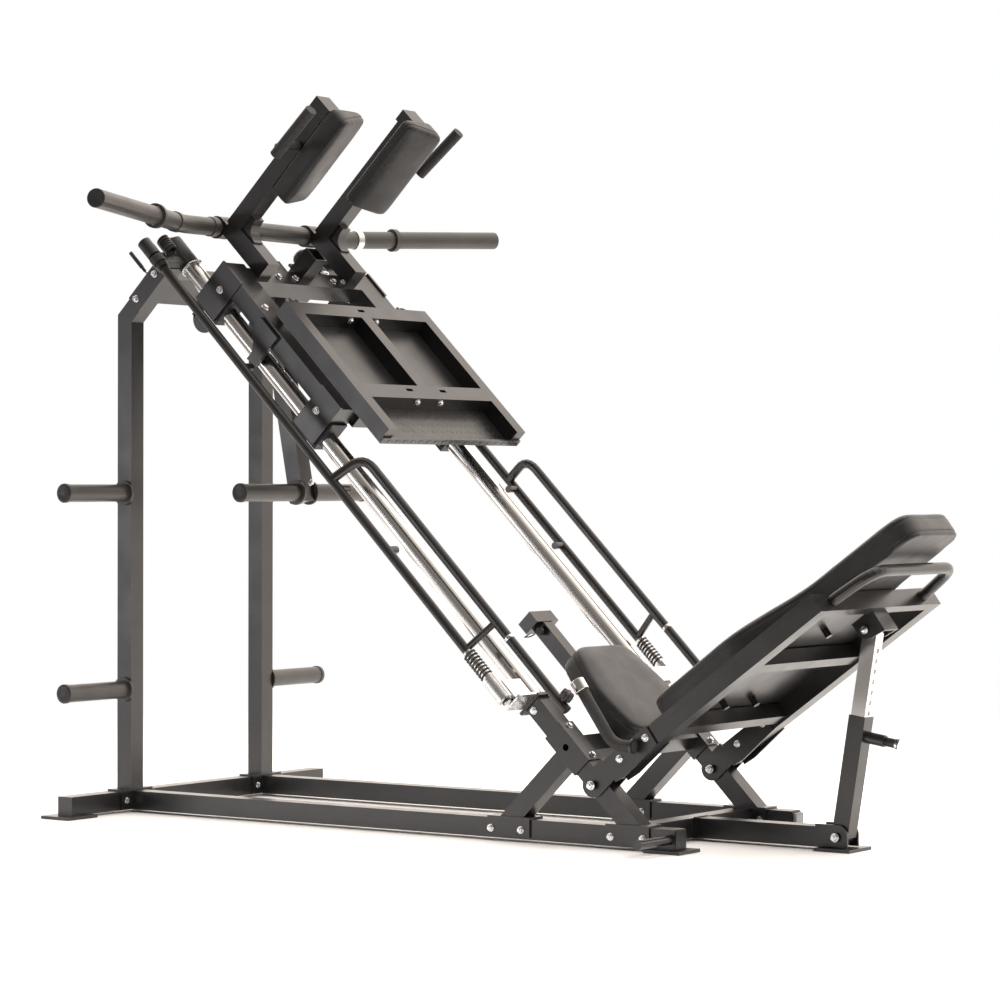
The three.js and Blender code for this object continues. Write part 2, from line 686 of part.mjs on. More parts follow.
add(
  "pop_pin",
  join(
    rod(strut, [face - 2.8, 0, PIN_Z], [face + 88, 0, PIN_Z], 6),
    rod(strut, [face + 53, 0, PIN_Z], [face + 86, 0, PIN_Z], 10),
    rod(strut, [face + 84, 0, PIN_Z], [face + 94, 0, PIN_Z], 14),
  ),
  "chrome",
);

export default machine;
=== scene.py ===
"""Looks for the leg press and hack squat machine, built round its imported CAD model.

In order: materials, a small mesh kit, finishes for the CAD nodes, camera, stage and light,
upholstery, then the fittings that the CAD leaves out.

Lengths are written in millimetres in the frame of the member they belong to, and turned into the
part's own frame by `at`. In SLOPE, x runs down the guide rods and z stands up from them. In BENCH,
x runs up the bench. In STRUT, z runs up the strut. `side` is -1 for the right and +1 for the left.
"""

import math

import bmesh
import bpy
import numpy
from mathutils import Matrix, Quaternion, Vector
from mathutils.bvhtree import BVHTree


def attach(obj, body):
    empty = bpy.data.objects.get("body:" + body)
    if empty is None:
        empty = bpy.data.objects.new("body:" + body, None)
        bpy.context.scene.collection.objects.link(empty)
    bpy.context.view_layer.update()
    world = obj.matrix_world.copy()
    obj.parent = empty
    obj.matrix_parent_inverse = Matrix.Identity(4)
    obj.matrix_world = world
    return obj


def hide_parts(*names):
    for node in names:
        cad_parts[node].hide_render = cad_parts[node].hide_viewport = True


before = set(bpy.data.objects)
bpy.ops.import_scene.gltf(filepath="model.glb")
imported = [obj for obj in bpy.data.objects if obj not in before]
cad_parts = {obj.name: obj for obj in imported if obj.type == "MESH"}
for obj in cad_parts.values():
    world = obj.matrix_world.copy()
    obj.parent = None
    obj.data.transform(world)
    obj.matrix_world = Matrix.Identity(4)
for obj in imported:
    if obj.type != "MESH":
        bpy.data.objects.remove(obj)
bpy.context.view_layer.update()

MM = 0.001
SHIFT_X = -1.142  # metres from the machine's middle back to the uprights
RAIL_Y = 285  # guide rods and base rails, from the middle
RAIL_FACE = 310  # outer face of the 50 mm tubes on that line
ROD_N = 1205  # guide rods, above the slope's own floor line
LOCK_Y = 405  # lock bars, from the middle
LOCK_N = 1204
HANDLE_Y = 332  # seat handles, from the middle
PIVOT = (1541, 155.6)  # the bench's pivot, in GROUND
STRUT_FOOT = (2069, 34)  # the strut's foot pivot, in GROUND
STRUT_FACE = 27.5  # outer face of the strut's outer tube
PIN_Z = 256  # the pop pin, up the strut
SIDES = {"right": -1, "left": 1}


def turned(degrees, x=0.0, z=0.0):
    return Matrix.Translation((x + SHIFT_X, 0, z)) @ Matrix.Rotation(math.radians(degrees), 4, "Y")


GROUND = turned(0)
SLOPE = turned(45)
BENCH = turned(-36.3, PIVOT[0] * MM, PIVOT[1] * MM)
STRUT = turned(9.06, STRUT_FOOT[0] * MM, STRUT_FOOT[1] * MM)


def at(place, x, y, z):
    """A point given in millimetres in one of the frames, in the part's own frame."""
    return place @ (Vector((x, y, z)) * MM)


def way(place, x, y, z):
    """A direction in one of the frames, as a unit vector in the part's own frame."""
    return (place.to_3x3() @ Vector((x, y, z))).normalized()


# ---------------------------------------------------------------- materials
class Nodes:
    """A material's node tree, with short calls for the few nodes used here."""

    def __init__(self, name):
        self.material = bpy.data.materials.new(name)
        self.material.use_nodes = True
        self.tree = self.material.node_tree
        self.shader = self.tree.nodes["Principled BSDF"]
        coordinates = self.tree.nodes.new("ShaderNodeTexCoord")
        self.position = coordinates.outputs["Object"]

    def add(self, kind, inputs=None, **settings):
        node = self.tree.nodes.new(kind)
        for key, value in settings.items():
            setattr(node, key, value)
        for key, value in (inputs or {}).items():
            socket = node.inputs[key]
            if isinstance(value, bpy.types.NodeSocket):
                self.tree.links.new(value, socket)
            else:
                socket.default_value = value
        return node

    def noise(self, scale, detail):
        inputs = {"Vector": self.position, "Scale": scale, "Detail": detail}
        return self.add("ShaderNodeTexNoise", inputs).outputs["Fac"]

    def remap(self, value, low, high, to_low, to_high):
        inputs = {"Value": value, "From Min": low, "From Max": high}
        inputs |= {"To Min": to_low, "To Max": to_high}
        return self.add("ShaderNodeMapRange", inputs).outputs["Result"]

    def blend(self, factor, first, second):
        node = self.add("ShaderNodeMix", data_type="RGBA")
        self.tree.links.new(factor, node.inputs["Factor"])
        for key, value in (("A", first), ("B", second)):
            socket = next(i for i in node.inputs if i.name == key and i.type == "RGBA")
            if isinstance(value, bpy.types.NodeSocket):
                self.tree.links.new(value, socket)
            else:
                socket.default_value = (*value, 1)
        return next(o for o in node.outputs if o.type == "RGBA")

    def bump(self, height, strength, distance, below=None):
        inputs = {"Height": height, "Strength": strength, "Distance": distance}
        if below is not None:
            inputs["Normal"] = below
        return self.add("ShaderNodeBump", inputs).outputs["Normal"]

    def finish(self, **sockets):
        for key, value in sockets.items():
            socket = self.shader.inputs[key.replace("_", " ")]
            if isinstance(value, bpy.types.NodeSocket):
                self.tree.links.new(value, socket)
            elif isinstance(value, tuple) and len(value) == 3:
                socket.default_value = (*value, 1)
            else:
                socket.default_value = value
        return self.material


def powder_coat(name, dark, light, roughness, rubbed=True):
    """Satin powder coat: fine orange peel, a slow drift of tone, and corners rubbed a little paler."""
    n = Nodes(name)
    drift = n.remap(n.noise(9, 4), 0.35, 0.65, 0, 1)
    colour = n.blend(drift, dark, light)
    if rubbed:
        corners = n.add("ShaderNodeBevel", {"Radius": 0.0016}, samples=4).outputs["Normal"]
        flat = n.add("ShaderNodeNewGeometry").outputs["Normal"]
        turn = n.add("ShaderNodeVectorMath", {0: corners, 1: flat}, operation="DOT_PRODUCT")
        turn = turn.outputs["Value"]
        scuff = n.remap(n.noise(60, 2), 0.5, 0.75, 0, 1)
        corner = n.remap(turn, 0.9, 0.997, 1, 0)
        worn = n.add("ShaderNodeMath", {0: corner, 1: scuff}, operation="MULTIPLY").outputs[0]
        colour = n.blend(worn, colour, (0.07, 0.067, 0.064))
    rough = n.remap(n.noise(14, 1), 0.3, 0.7, roughness - 0.02, roughness + 0.05)
    peel = n.bump(n.noise(240, 1), 0.03 if rubbed else 0.01, 0.0005)
    return n.finish(Base_Color=colour, Roughness=rough, Normal=peel, Metallic=0.0, IOR=1.62)


def polished(name, tint, roughness):
    """Hard chrome: bright, with a little haze."""
    n = Nodes(name)
    haze = n.noise(9, 1)
    colour = n.blend(n.remap(haze, 0.3, 0.7, 0, 1), tint, tuple(0.9 * c for c in tint))
    rough = n.remap(haze, 0.3, 0.7, roughness, roughness + 0.06)
    return n.finish(Base_Color=colour, Roughness=rough, Metallic=1.0)


def zinc(name, tint, roughness):
    """Zinc plate: a metal with soft spangle patches that differ in tone and gloss."""
    n = Nodes(name)
    cells = n.add("ShaderNodeTexVoronoi", {"Vector": n.position, "Scale": 150.0}).outputs["Color"]
    grey = n.add("ShaderNodeSeparateColor", {"Color": cells}).outputs[0]
    colour = n.blend(grey, tint, tuple(0.78 * c for c in tint))
    rough = n.remap(grey, 0, 1, roughness, roughness + 0.07)
    pitted = n.bump(n.noise(300, 1), 0.05, 0.0003)
    return n.finish(Base_Color=colour, Roughness=rough, Normal=pitted, Metallic=1.0)


def vinyl(name):
    """Upholstery vinyl: pebbled leather grain, creases between the pebbles painted darker as shade, and a
    soft sheen.
    """
    n = Nodes(name)
    stretch = n.noise(24, 3)
    cells = {"Vector": n.position, "Scale": 520.0, "Randomness": 0.9}
    pebbles = n.add("ShaderNodeTexVoronoi", cells, feature="F1").outputs["Distance"]
    grain = n.remap(pebbles, 0.0, 0.7, 1, 0)
    wide = n.bump(n.noise(40, 2), 0.12, 0.0016)
    fine = n.bump(grain, 0.12, 0.0005, wide)
    tone = n.remap(stretch, 0.35, 0.65, 0, 1)
    colour = n.blend(tone, (0.010, 0.010, 0.011), (0.017, 0.0165, 0.017))
    # Painted shade: the creases between the pebbles are painted darker, as shadow in the grain.
    colour = n.blend(n.remap(pebbles, 0.45, 0.8, 0, 0.5), colour, (0.006, 0.006, 0.006))
    rough = n.remap(n.noise(22, 2), 0.3, 0.7, 0.40, 0.50)
    sheen = {"Sheen_Weight": 0.12, "Sheen_Roughness": 0.45}
    return n.finish(Base_Color=colour, Roughness=rough, Normal=fine, IOR=1.5, **sheen)


def moulded(name, colour, roughness, grain, strength=0.2):
    """Moulded plastic or rubber with a fine spark-eroded grain."""
    n = Nodes(name)
    paler = tuple(min(1, 1.5 * c + 0.004) for c in colour)
    tone = n.blend(n.remap(n.noise(30, 4), 0.35, 0.65, 0, 1), colour, paler)
    rough = n.remap(n.noise(80, 3), 0.3, 0.7, roughness - 0.06, roughness + 0.08)
    eroded = n.bump(n.noise(grain, 3), strength, 0.0006)
    return n.finish(Base_Color=tone, Roughness=rough, Normal=eroded, IOR=1.48)


def foam_rubber(name):
    """Foam rubber grip with fine pores, each painted darker towards its middle as shade."""
    n = Nodes(name)
    pores = n.add("ShaderNodeTexVoronoi", {"Vector": n.position, "Scale": 450.0}).outputs["Distance"]
    # Painted shade: the pores' sunken middles are painted darker, as if shadowed.
    colour = n.blend(n.remap(pores, 0.1, 0.5, 0, 1), (0.010, 0.010, 0.010), (0.028, 0.027, 0.027))
    open_pores = n.bump(pores, 0.08, 0.0004)
    return n.finish(Base_Color=colour, Roughness=0.62, Normal=open_pores, IOR=1.45)


COAT = powder_coat("powder_coat", (0.006, 0.0059, 0.0064), (0.010, 0.0096, 0.0098), 0.30)
TUBE_COAT = powder_coat("tube_coat", (0.006, 0.006, 0.0063), (0.010, 0.0096, 0.0096), 0.30, rubbed=False)
PALE_COAT = powder_coat("pale_coat", (0.030, 0.028, 0.026), (0.041, 0.038, 0.035), 0.40, rubbed=False)
CHROME = polished("polished_chrome", (0.78, 0.78, 0.775), 0.13)
ZINC = zinc("zinc_plate", (0.88, 0.89, 0.90), 0.24)
BRIGHT_ZINC = zinc("bright_zinc", (0.86, 0.87, 0.88), 0.20)
VINYL = vinyl("black_vinyl")
THREAD = moulded("stitch_thread", (0.030, 0.030, 0.031), 0.7, 1500)
NYLON = moulded("black_nylon", (0.012, 0.012, 0.013), 0.48, 700)
SPRING = moulded("black_spring_steel", (0.016, 0.016, 0.017), 0.34, 400, 0.08)
GRIP = foam_rubber("black_grip")
CAP = moulded("end_cap_plastic", (0.014, 0.014, 0.014), 0.42, 500)
GREY_CAP = moulded("grey_cap_plastic", (0.16, 0.16, 0.16), 0.5, 500)
ORANGE = moulded("orange_mark", (0.40, 0.09, 0.02), 0.5, 500)


# ---------------------------------------------------------------- meshes
class Solid:
    """One visible piece, gathered from closed shells."""

    def __init__(self):
        self.mesh = bmesh.new()

    def lathe(self, start, direction, profile, segments=28):
        """Turns (along, radius) points, in millimetres, about a line, with a flat face at each end."""
        spin = direction.to_track_quat("Z", "Y")
        rings = []
        for along, radius in profile:
            ring = []
            for k in range(segments):
                angle = 2 * math.pi * k / segments
                local = Vector((radius * math.cos(angle), radius * math.sin(angle), along)) * MM
                ring.append(self.mesh.verts.new(start + spin @ local))
            rings.append(ring)
        self._skin(rings, segments)

    def _skin(self, rings, segments):
        """Joins rings of as many points into a closed shell, with a face on the first and the last."""
        for low, high in zip(rings, rings[1:]):
            for k in range(segments):
                j = (k + 1) % segments
                self.mesh.faces.new((low[k], low[j], high[j], high[k]))
        self.mesh.faces.new(list(reversed(rings[0])))
        self.mesh.faces.new(rings[-1])

    def sweep(self, points, radius, segments=12):
        """A round wire or tube through a list of points."""
        tangents = []
        for i in range(len(points)):
            ahead = points[min(i + 1, len(points) - 1)]
            behind = points[max(i - 1, 0)]
            tangents.append((ahead - behind).normalized())
        side = tangents[0].orthogonal().normalized()
        rings = []
        for i, (point, tangent) in enumerate(zip(points, tangents)):
            if i:
                side = tangents[i - 1].rotation_difference(tangent) @ side
            other = tangent.cross(side)
            ring = []
            for k in range(segments):
                angle = 2 * math.pi * k / segments
                spoke = side * math.cos(angle) + other * math.sin(angle)
                ring.append(self.mesh.verts.new(point + spoke * radius * MM))
            rings.append(ring)
        self._skin(rings, segments)

    def prism(self, place, outline, low, high, axis="y"):
        """An outline carried along one axis of a frame: [x, z] points for y, [x, y] points for z."""
        def point(a, b, c):
            return at(place, a, c, b) if axis == "y" else at(place, a, b, c)

        ends = [[self.mesh.verts.new(point(a, b, c)) for a, b in outline] for c in (low, high)]
        self._skin(ends, len(outline))

    def block(self, place, xs, ys, zs):
        """A box between two values on each axis of a frame."""
        outline = [(xs[0], ys[0]), (xs[1], ys[0]), (xs[1], ys[1]), (xs[0], ys[1])]
        self.prism(place, outline, zs[0], zs[1], "z")

    def bolt(self, spot, direction, size=8.0, washer=True, stud=0.0):
        """A domed hexagon head on a washer, or a nut with a stud end showing."""
        level = 0.0
        if washer:
            rim = 1.15 * size
            plate = [(-0.5, 0.5), (-0.5, rim), (1.1, rim), (1.7, rim - 0.6), (1.7, 0.5)]
            self.lathe(spot, direction, plate)
            level = 1.6
        width = 0.92 * size
        spin = direction.to_track_quat("Z", "Y")
        rings = []
        for up, radius in ((0, 1.0), (0.62, 1.0), (0.72, 0.90)):
            ring = []
            for k in range(6):
                angle = math.pi * k / 3 + 0.3
                local = Vector((math.cos(angle), math.sin(angle), 0)) * width * radius
                local.z = level + up * size
                ring.append(self.mesh.verts.new(spot + spin @ (local * MM)))
            rings.append(ring)
        self._skin(rings, 6)
        top = level + 0.72 * size
        dome = [(top - 1, 0.1), (top - 1, 0.72 * width), (top + 0.2, 0.66 * width)]
        dome += [(top + 0.9, 0.45 * width), (top + 1.2 + stud, 0.2 * width), (top + 1.2 + stud, 0.1)]
        self.lathe(spot, direction, dome, 18)

    def linked(self, name):
        """The gathered shells as an object of the scene."""
        mesh = bpy.data.meshes.new(name)
        bmesh.ops.recalc_face_normals(self.mesh, faces=self.mesh.faces)
        self.mesh.to_mesh(mesh)
        self.mesh.free()
        obj = bpy.data.objects.new(name, mesh)
        bpy.context.scene.collection.objects.link(obj)
        return obj

    def piece(self, name, body, material, slot, smooth=35, bevel=0.0):
        """The shells finished as a piece that rides on a body; `slot` is not used."""
        obj = self.linked(name)
        obj.data.materials.append(material)
        soften(obj, smooth)
        if bevel:
            eased(obj, bevel, 40)
        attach(obj, body)
        return obj


def eased(obj, width, degrees):
    """Rounds the corners sharper than the angle by a width in millimetres."""
    edge = obj.modifiers.new("Edge", "BEVEL")
    edge.width = width * MM
    edge.segments = 2
    edge.limit_method = "ANGLE"
    edge.angle_limit = math.radians(degrees)


def soften(obj, degrees):
    """Shades smooth, keeping corners sharper than the angle."""
    obj.data.shade_smooth()
    obj.data.set_sharp_from_angle(angle=math.radians(degrees))


# ---------------------------------------------------------------- the CAD nodes' own finishes
# The last row whose start fits a node's name gives its finish. All other nodes are powder coated.
FINISHES = [
    (("guide_rod",), CHROME),
    (("rod_lower_bracket",), ZINC),
    (("pop_pin", "strut_inner"), CHROME),
    (("bush",), NYLON),
    (("lock_spring",), SPRING),
    (("rod_top_clamp",), CAP),
    (("seat_handle", "shoulder_handle"), GRIP),
    (("load_bar", "horn_collar", "storage_peg", "weight_peg"), PALE_COAT),
    (("lock_bar", "u_handle"), TUBE_COAT),
]
for name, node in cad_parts.items():
    finish = COAT
    for starts, material in FINISHES:
        if name.startswith(starts):
            finish = material
    node.data.materials.clear()
    node.data.materials.append(finish)
    eased(node, 1.2, 50)
    soften(node, 32)

# ---------------------------------------------------------------- camera
# It stands off the machine's front right corner, almost level, with a long lens.
CAMERA_PLACE = Vector((4.819, -7.114, 0.908))
AZIMUTH = math.radians(34.67)
PITCH = math.radians(-0.32)
ROLL = math.radians(-0.11)
camera_data = bpy.data.cameras.new("camera")
camera_data.lens = 117.7
camera_data.sensor_width = 36.0
camera_data.clip_end = 100.0
camera = bpy.data.objects.new("camera", camera_data)
bpy.context.scene.collection.objects.link(camera)
level = Vector((-math.sin(AZIMUTH), math.cos(AZIMUTH), 0))
look = level * math.cos(PITCH) + Vector((0, 0, math.sin(PITCH)))
camera.rotation_mode = "QUATERNION"
camera.location = CAMERA_PLACE
camera.rotation_quaternion = Quaternion(look, ROLL) @ look.to_track_quat("-Z", "Y")
bpy.context.scene.camera = camera

# ---------------------------------------------------------------- stage and light
FLOOR_RADIUS = 5.0
FADE = (1.7, 4.6)  # metres from the middle where the floor starts and ends to fade


def floor_material():
    """A pale floor that fades into the background well away from the object."""
    n = Nodes("pale_floor")
    distance = n.add("ShaderNodeVectorMath", {0: n.position}, operation="LENGTH").outputs["Value"]
    fade = n.remap(distance, *FADE, 0, 1)
    mottle = n.blend(n.noise(2, 3), (0.90, 0.90, 0.90), (0.94, 0.94, 0.94))
    n.finish(Base_Color=mottle, Roughness=0.55, Specular_IOR_Level=0.2)
    clear = n.add("ShaderNodeBsdfTransparent").outputs[0]
    mix = n.add("ShaderNodeMixShader", {0: fade, 1: n.shader.outputs[0], 2: clear})
    n.tree.links.new(mix.outputs[0], n.tree.nodes["Material Output"].inputs["Surface"])
    return n.material


disc = bmesh.new()
bmesh.ops.create_circle(disc, cap_ends=True, segments=96, radius=FLOOR_RADIUS)
floor_mesh = bpy.data.meshes.new("floor")
disc.to_mesh(floor_mesh)
disc.free()
floor = bpy.data.objects.new("floor", floor_mesh)
floor.location.z = -0.5 * MM
floor_mesh.materials.append(floor_material())
bpy.context.scene.collection.objects.link(floor)

# The studio's walls, as the object sees them, grow from dark to bright towards BRIGHT_WAY.
# The camera itself sees plain white.
BRIGHT_WAY = (-0.20, 0.86, 0.45)
SKY = [(0.0, 0.10), (0.40, 0.13), (0.62, 0.46), (0.82, 1.0)]
SKY_TINT = (1.0, 0.90, 0.82)
SKY_STRENGTH = 2.0

world = bpy.data.worlds.new("studio")
bpy.context.scene.world = world
world.use_nodes = True
tree = world.node_tree
background = tree.nodes["Background"]
direction = tree.nodes.new("ShaderNodeTexCoord")
facing = tree.nodes.new("ShaderNodeVectorMath")
facing.operation = "DOT_PRODUCT"
facing.inputs[1].default_value = BRIGHT_WAY
tree.links.new(direction.outputs["Generated"], facing.inputs[0])
shift = tree.nodes.new("ShaderNodeMapRange")
shift.inputs["From Min"].default_value = -1.0
tree.links.new(facing.outputs["Value"], shift.inputs["Value"])
sky = tree.nodes.new("ShaderNodeValToRGB")
tree.links.new(shift.outputs["Result"], sky.inputs[0])
for place, grey in SKY[1:-1]:
    sky.color_ramp.elements.new(place)
for stop, (place, grey) in zip(sky.color_ramp.elements, SKY):
    stop.position = place
    stop.color = (*(grey * share for share in SKY_TINT), 1)
tree.links.new(sky.outputs[0], background.inputs["Color"])
background.inputs["Strength"].default_value = SKY_STRENGTH
backdrop = tree.nodes.new("ShaderNodeBackground")
backdrop.inputs["Color"].default_value = (1, 1, 1, 1)
backdrop.inputs["Strength"].default_value = 1.0
ray = tree.nodes.new("ShaderNodeLightPath")
choose = tree.nodes.new("ShaderNodeMixShader")
tree.links.new(ray.outputs["Is Camera Ray"], choose.inputs[0])
tree.links.new(background.outputs[0], choose.inputs[1])
tree.links.new(backdrop.outputs[0], choose.inputs[2])
tree.links.new(choose.outputs[0], tree.nodes["World Output"].inputs["Surface"])


def soft_light(name, place, target, size, watts, colour, mirrored=False):
    """A rectangular lamp. Only a mirrored one shows in polished metal and gloss."""
    data = bpy.data.lights.new(name, "AREA")
    data.shape = "RECTANGLE"
    data.size, data.size_y = size
    data.energy = watts
    data.color = colour
    light = bpy.data.objects.new(name, data)
    light.location = place
    light.rotation_mode = "QUATERNION"
    light.rotation_quaternion = (Vector(target) - Vector(place)).to_track_quat("-Z", "Y")
    light.visible_camera = False
    light.visible_glossy = mirrored
    bpy.context.scene.collection.objects.link(light)


MIDDLE = (0, 0, 0.9)
soft_light("key", (4.8, -0.4, 4.0), MIDDLE, size=(3.4, 3.4), watts=300, colour=(1.0, 0.955, 0.915))
soft_light("top", (-0.6, 0.4, 5.0), MIDDLE, size=(4.5, 4.5), watts=140, colour=(1.0, 0.97, 0.94))
soft_light(
    "front", (-4.32, -5.06, 0.75), (-0.52, -0.06, 0.7),
    size=(2.0, 1.6), watts=37, colour=(0.98, 0.965, 1.0), mirrored=True,
)
soft_light("back", (0.0, 4.6, 3.9), MIDDLE, size=(4.0, 3.0), watts=90, colour=(1.0, 0.96, 0.92))

scene = bpy.context.scene
scene.view_settings.view_transform = "Standard"
scene.view_settings.look = "None"

# ---------------------------------------------------------------- upholstery
VOXEL = 0.006  # metres, the remeshed pads' cells
SIM_FRAMES = 20
SKIN_PASSES = 3  # evening out of a pad's rest shape
SWELL_PASSES = 40  # evening out of how far it swells
HELD_HEIGHT = 0.006  # metres above the board that the cloth doesn't move
BOARD_INSET = 7  # the underside's own outline, inside the pad's
SPREAD = 1.5  # the sides start this far outside the outline, as the evening out pulls them in
CROWN = 1  # and the top starts this far above its height
EDGE_STEPS = 4
UPPER_SEAM = 3  # below the rounded edge
LOWER_SEAM = 0.010  # metres above the board
UPPER_GROOVE = 0.0016
LOWER_GROOVE = 0.0012
GROOVE_REACH = 0.0045
UPPER_STITCHES = 3.4  # below the upper seam
LOWER_STITCHES = 13.5  # above the board
STITCH_PITCH = 6.5
STITCH_GAP = 0.16  # of the pitch, at each end


def rounded_outline(corners, radius, steps=7):
    """The outline with each corner replaced by a smooth arc, as 2-D vectors in millimetres."""
    points = []
    count = len(corners)
    for i, corner in enumerate(corners):
        here = Vector(corner)
        back = Vector(corners[i - 1]) - here
        ahead = Vector(corners[(i + 1) % count]) - here
        reach = min(radius, back.length / 2.05, ahead.length / 2.05)
        start = here + back.normalized() * reach
        end = here + ahead.normalized() * reach
        for k in range(steps):
            t = k / (steps - 1)
            points.append((1 - t) ** 2 * start + 2 * t * (1 - t) * here + t * t * end)
    return points


def inset(points, distance):
    """The outline moved inwards by a distance, point by point."""
    area = sum(a.x * b.y - b.x * a.y for a, b in zip(points, points[1:] + points[:1]))
    turn = 1 if area > 0 else -1
    moved = []
    for i, point in enumerate(points):
        along = points[(i + 1) % len(points)] - points[i - 1]
        along.normalize()
        moved.append(point + Vector((-along.y, along.x)) * turn * distance)
    return moved


def resampled(points, spacing):
    """The closed outline at even steps of about the spacing."""
    loop = points + points[:1]
    total = sum((b - a).length for a, b in zip(loop, loop[1:]))
    count = round(total / spacing)
    step = total / count
    found = []
    travelled = 0.0
    for a, b in zip(loop, loop[1:]):
        length = (b - a).length
        while len(found) < count and len(found) * step <= travelled + length + 1e-9:
            found.append(a.lerp(b, (len(found) * step - travelled) / max(length, 1e-9)))
        travelled += length
    return found


def evaluated(obj):
    """Replaces an object's mesh by what its modifiers make of it, and removes them."""
    graph = bpy.context.evaluated_depsgraph_get()
    made = bpy.data.meshes.new_from_object(obj.evaluated_get(graph))
    obj.modifiers.clear()
    obj.data = made
    return made


def inflate(obj, floor_z, cap):
    """Swells the remeshed pad with cloth pressure, holding its underside flat on its board.

    Only the swelling along the surface's normals is kept, up to `cap` metres, and it is evened out.
    """
    held = obj.vertex_groups.new(name="held")
    rest = [v.co.copy() for v in obj.data.vertices]
    held.add([i for i, co in enumerate(rest) if co.z < floor_z + HELD_HEIGHT], 1.0, "REPLACE")
    cloth = obj.modifiers.new("Cloth", "CLOTH")
    cloth.settings.quality = 5
    cloth.settings.mass = 0.3
    cloth.settings.tension_stiffness = 12
    cloth.settings.compression_stiffness = 12
    cloth.settings.shear_stiffness = 8
    cloth.settings.bending_stiffness = 0.8
    cloth.settings.use_pressure = True
    cloth.settings.uniform_pressure_force = 4.0
    cloth.settings.vertex_group_mass = "held"
    cloth.settings.effector_weights.gravity = 0.0
    cloth.collision_settings.use_collision = False
    cloth.point_cache.frame_start = 1
    cloth.point_cache.frame_end = SIM_FRAMES
    for step in range(1, SIM_FRAMES + 1):
        bpy.context.scene.frame_set(step)
    outward = [v.normal.copy() for v in obj.data.vertices]
    evaluated(obj)
    mesh = obj.data
    moved = [vertex.co - start for vertex, start in zip(mesh.vertices, rest)]
    swell = numpy.array([move.dot(normal) for move, normal in zip(moved, outward)]).clip(0, cap)
    place = evened(mesh, numpy.array(rest), SKIN_PASSES)
    outward = evened(mesh, numpy.array(outward), SKIN_PASSES)
    place += outward * evened(mesh, swell[:, None], SWELL_PASSES)
    for vertex, spot in zip(mesh.vertices, place):
        vertex.co = spot
    bpy.context.scene.frame_set(1)


def evened(mesh, values, passes):
    """Each vertex's value drawn towards its neighbours' mean, several times over."""
    ends = numpy.array([e.vertices[:] for e in mesh.edges])
    count = len(mesh.vertices)
    valence = numpy.bincount(ends.ravel(), minlength=count)[:, None]
    for _ in range(passes):
        total = numpy.zeros_like(values)
        numpy.add.at(total, ends[:, 0], values[ends[:, 1]])
        numpy.add.at(total, ends[:, 1], values[ends[:, 0]])
        values = 0.5 * values + 0.5 * total / valence
    return values


def cushion(name, corners, corner, floor_z, top, place, edge=12, cap=0.007):
    """An upholstered pad: an outline, its corners' radius, its board's height and its top's height.

    It is remeshed, swollen by cloth simulation, subdivided, and pulled in along its two seams.
    """
    def board(x, y):
        return floor_z

    outline = rounded_outline(corners, corner)
    body = Solid()
    rings = [(board, 0, BOARD_INSET), (board, 0, -SPREAD)]
    for k in range(EDGE_STEPS):
        angle = math.pi / 2 * k / (EDGE_STEPS - 1)
        drop = edge * (1 - math.sin(angle)) - CROWN
        rings.append((top, drop, edge * (1 - math.cos(angle)) - SPREAD))
    shells = []
    for height, drop, distance in rings:
        ring = []
        for p in inset(outline, distance):
            spot = Vector((p.x, p.y, height(p.x, p.y) - drop)) * MM
            ring.append(body.mesh.verts.new(spot))
        shells.append(ring)
    body._skin(shells, len(outline))
    pad = body.linked(name)
    remesh = pad.modifiers.new("Remesh", "REMESH")
    remesh.mode = "VOXEL"
    remesh.voxel_size = VOXEL
    evaluated(pad)
    low = floor_z * MM
    inflate(pad, low, cap)
    smooth = pad.modifiers.new("Smooth", "SUBSURF")
    smooth.levels = smooth.render_levels = 1
    evaluated(pad)
    upper = edge + UPPER_SEAM
    normals = [v.normal.copy() for v in pad.data.vertices]
    for vertex, normal in zip(pad.data.vertices, normals):
        spot = vertex.co.copy()
        height = top(spot.x / MM, spot.y / MM) * MM
        sideways = Vector((normal.x, normal.y, 0))
        if sideways.length > 0.35:
            seams = ((height - upper * MM, UPPER_GROOVE), (low + LOWER_SEAM, LOWER_GROOVE))
            for seam, depth in seams:
                near = 1 - abs(spot.z - seam) / GROOVE_REACH
                if near > 0:
                    spot -= sideways.normalized() * depth * near * near * (3 - 2 * near)
        spot.z = max(spot.z, low)
        vertex.co = spot
    thread = seam_thread(name, pad, outline, top, upper, floor_z)
    for piece in (pad, thread):
        piece.data.transform(place)
        if place.determinant() < 0:
            piece.data.flip_normals()
        piece.data.shade_smooth()
    pad.data.materials.clear()
    pad.data.materials.append(VINYL)
    thread.data.materials.clear()
    thread.data.materials.append(THREAD)
    return pad, thread


def seam_thread(name, pad, outline, top, upper, floor_z):
    """Stitches along both seams, laid on the pad's finished surface."""
    def upper_line(x, y):
        return top(x, y) - upper - UPPER_STITCHES

    def lower_line(x, y):
        return floor_z + LOWER_STITCHES

    mesh = pad.data
    corners = [v.co for v in mesh.vertices]
    surface = BVHTree.FromPolygons(corners, [f.vertices for f in mesh.polygons])
    sewn = Solid()
    for height in (upper_line, lower_line):
        spots = []
        for p in resampled(outline, STITCH_PITCH):
            seam = Vector((p.x, p.y, height(p.x, p.y))) * MM
            spot, normal, _, _ = surface.find_nearest(seam)
            spots.append(spot + normal * 0.2 * MM)
        for a, b in zip(spots, spots[1:] + spots[:1]):
            if (b - a).length > 0.1 * MM:
                stitch = [a.lerp(b, STITCH_GAP), a.lerp(b, 1 - STITCH_GAP)]
                sewn.sweep(stitch, radius=0.42, segments=5)
    return sewn.linked(name + "_stitches")


def upholster(pad, thread, body, node):
    """Sets a finished cushion on its body in place of the CAD node."""
    for piece in (pad, thread):
        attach(piece, body)
    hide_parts(node)


